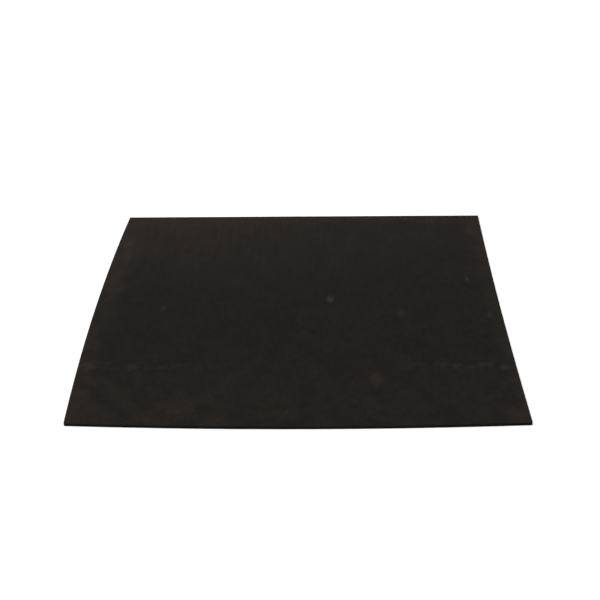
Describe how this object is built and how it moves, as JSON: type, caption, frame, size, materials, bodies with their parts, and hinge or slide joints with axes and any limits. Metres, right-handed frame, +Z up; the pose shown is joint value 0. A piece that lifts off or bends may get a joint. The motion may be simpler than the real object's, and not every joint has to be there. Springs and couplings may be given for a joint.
{
  "type": "seedling heat mat",
  "caption": "Thin flat laminated rubber heat mat, nearly square, that seed trays stand on so that their soil is warmed from below.",
  "frame": {"origin": "centre of the mat's bounding box, on its underside", "axes": "+Z up out of the face that trays stand on, +X along the longer side, +Y towards the back edge, where the gland for the supply lead is"},
  "size_m": [0.534, 0.5146, 0.0038],
  "materials": {
    "cover_rubber": "matt black, fine calendered grain, dusty",
    "edge_rubber": "matt black, knife cut",
    "block_rubber": "matt grey, moulded",
    "felt": "needled wool-grey felt",
    "glass_scrim": "open weave of glass yarn",
    "wire_silicone": "satin red silicone",
    "fixing_tape": "amber film",
    "foil": "soft rolled foil",
    "gland_plastic": "moulded black",
    "tinned_brass": "dull tin",
    "live_insulation": "brown",
    "neutral_insulation": "blue",
    "earth_insulation": "green with a yellow stripe",
    "shrink_sleeve": "shrunk polyolefin",
    "fuse_case": "unglazed, sealed with resin",
    "glass_sleeve": "braided glass"
  },
  "bodies": {
    "root": {"bottom_cover": "cover_rubber", "top_cover": "cover_rubber", "edge_strip_front": "edge_rubber", "edge_strip_left": "edge_rubber", "edge_strip_right": "edge_rubber", "edge_strip_back_left": "edge_rubber", "edge_strip_back_right": "edge_rubber", "lead_gland": "gland_plastic", "insulation_felt": "felt", "wire_carrier": "glass_scrim", "heat_spreader_foil": "foil", "heating_wire": "wire_silicone", "wire_tape_front": "fixing_tape", "wire_tape_middle": "fixing_tape", "wire_tape_back": "fixing_tape", "wire_tape_header_left": "fixing_tape", "wire_tape_header_right": "fixing_tape", "joint_block": "block_rubber", "thermal_fuse": "fuse_case", "thermal_fuse_sleeve": "glass_sleeve", "neutral_crimp": "tinned_brass", "neutral_crimp_sleeve": "shrink_sleeve", "fuse_crimp_element": "tinned_brass", "fuse_crimp_element_sleeve": "shrink_sleeve", "fuse_crimp_lead": "tinned_brass", "fuse_crimp_lead_sleeve": "shrink_sleeve", "neutral_lead": "neutral_insulation", "live_lead": "live_insulation", "earth_lead": "earth_insulation", "supply_crimp_neutral": "tinned_brass", "supply_crimp_neutral_sleeve": "shrink_sleeve", "supply_crimp_earth": "tinned_brass", "supply_crimp_earth_sleeve": "shrink_sleeve", "supply_crimp_live": "tinned_brass", "supply_crimp_live_sleeve": "shrink_sleeve", "earth_terminal": "tinned_brass", "earth_eyelet": "tinned_brass"}
  },
  "joints": []
}
